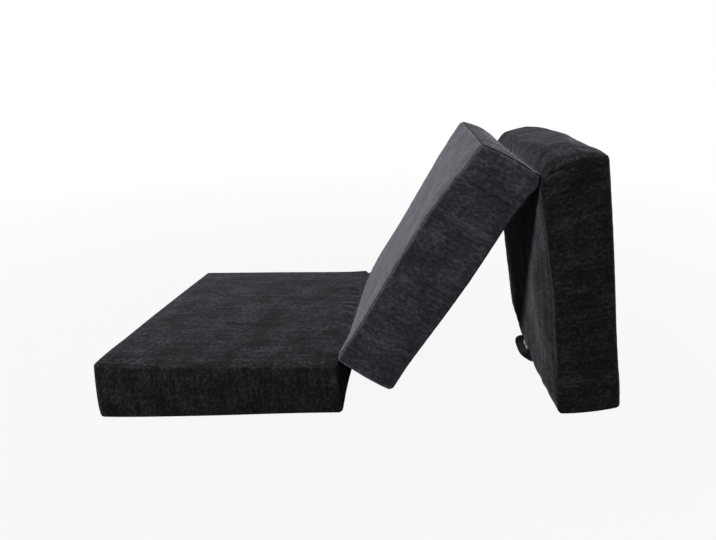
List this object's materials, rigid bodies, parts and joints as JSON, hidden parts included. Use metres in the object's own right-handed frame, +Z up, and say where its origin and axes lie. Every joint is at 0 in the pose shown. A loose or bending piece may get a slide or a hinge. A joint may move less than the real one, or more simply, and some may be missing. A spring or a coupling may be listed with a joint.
{
  "type": "fold out ottoman guest bed",
  "caption": "Foam guest bed in zipped chenille covers: sections joined by cloth hinges fold into an ottoman or open flat into a mattress, with a webbing carry handle.",
  "frame": {"origin": "centre of the foot section's underside, on the floor", "axes": "+X from the foot section towards the head section, +Y to the back, where the zips are, +Z up"},
  "size_m": [1.3385, 0.7067, 0.6923],
  "materials": {
    "chenille_cover": "matte",
    "foam": "matte",
    "zip_tape": "matte",
    "zip_teeth": "satin",
    "zip_metal": "satin",
    "webbing": "matte"
  },
  "bodies": {
    "foot": {"foot_core": "foam", "foot_top_panel": "chenille_cover", "foot_under_panel": "chenille_cover", "foot_front_panel": "chenille_cover", "foot_back_upper_panel": "chenille_cover", "foot_back_lower_panel": "chenille_cover", "foot_left_end_panel": "chenille_cover", "foot_right_end_panel": "chenille_cover", "foot_zip_upper_tape": "zip_tape", "foot_zip_lower_tape": "zip_tape", "foot_zip_upper_teeth": "zip_teeth", "foot_zip_lower_teeth": "zip_teeth", "foot_zip_stops": "zip_metal", "foot_hinge_strip": "chenille_cover"},
    "foot_zip_slider": {"foot_zip_slider": "zip_metal"},
    "foot_zip_pull": {"foot_zip_pull": "zip_metal"},
    "middle": {"middle_core": "foam", "middle_top_panel": "chenille_cover", "middle_under_panel": "chenille_cover", "middle_front_panel": "chenille_cover", "middle_back_upper_panel": "chenille_cover", "middle_back_lower_panel": "chenille_cover", "middle_left_end_panel": "chenille_cover", "middle_right_end_panel": "chenille_cover", "middle_zip_upper_tape": "zip_tape", "middle_zip_lower_tape": "zip_tape", "middle_zip_upper_teeth": "zip_teeth", "middle_zip_lower_teeth": "zip_teeth", "middle_zip_stops": "zip_metal", "head_hinge_strip": "chenille_cover"},
    "middle_zip_slider": {"middle_zip_slider": "zip_metal"},
    "middle_zip_pull": {"middle_zip_pull": "zip_metal"},
    "head": {"head_core": "foam", "head_top_panel": "chenille_cover", "head_under_panel": "chenille_cover", "head_front_panel": "chenille_cover", "head_back_upper_panel": "chenille_cover", "head_back_lower_panel": "chenille_cover", "head_left_end_panel": "chenille_cover", "head_right_end_panel": "chenille_cover", "head_zip_upper_tape": "zip_tape", "head_zip_lower_tape": "zip_tape", "head_zip_upper_teeth": "zip_teeth", "head_zip_lower_teeth": "zip_teeth", "head_zip_stops": "zip_metal", "handle_tails": "webbing"},
    "head_zip_slider": {"head_zip_slider": "zip_metal"},
    "head_zip_pull": {"head_zip_pull": "zip_metal"},
    "handle": {"carry_handle": "webbing"}
  },
  "joints": [
    {"name": "foot_fold", "type": "hinge", "parent": "foot", "child": "middle", "pos_m": [0.3168, 0, 0.1548], "axis": [0, -1, 0], "range_deg": [-59.36, 120.64], "deforming": ["foot_hinge_strip"]},
    {"name": "head_fold", "type": "hinge", "parent": "middle", "child": "head", "pos_m": [0.7736, 0, 0.62063], "axis": [0, 1, 0], "range_deg": [-140.36, 39.64], "deforming": ["head_hinge_strip", "carry_handle"]},
    {"name": "foot_zip_run", "type": "slide", "parent": "foot", "child": "foot_zip_slider", "axis": [1, 0, 0], "range_m": [0, 0.5394]},
    {"name": "foot_pull_lift", "type": "hinge", "parent": "foot_zip_slider", "child": "foot_zip_pull", "pos_m": [-0.2697, 0.35467, 0.077], "axis": [0, 0, 1], "range_deg": [0, 170]},
    {"name": "middle_zip_run", "type": "slide", "parent": "middle", "child": "middle_zip_slider", "axis": [-0.5097, 0, -0.8604], "range_m": [0, 0.5394]},
    {"name": "middle_pull_lift", "type": "hinge", "parent": "middle_zip_slider", "child": "middle_zip_pull", "pos_m": [0.68266, 0.35467, 0.61976], "axis": [0.8604, 0, -0.5097], "range_deg": [0, 170]},
    {"name": "head_zip_run", "type": "slide", "parent": "head", "child": "head_zip_slider", "axis": [0.1564, 0, -0.9877], "range_m": [0, 0.5394]},
    {"name": "head_pull_lift", "type": "hinge", "parent": "head_zip_slider", "child": "head_zip_pull", "pos_m": [0.85781, 0.35467, 0.58628], "axis": [0.9877, 0, 0.1564], "range_deg": [0, 170]},
    {"name": "handle_swing", "type": "hinge", "parent": "head", "child": "handle", "pos_m": [0.87149, 0, 0.0081], "axis": [0, -1, 0], "range_deg": [-85, 90]}
  ]
}
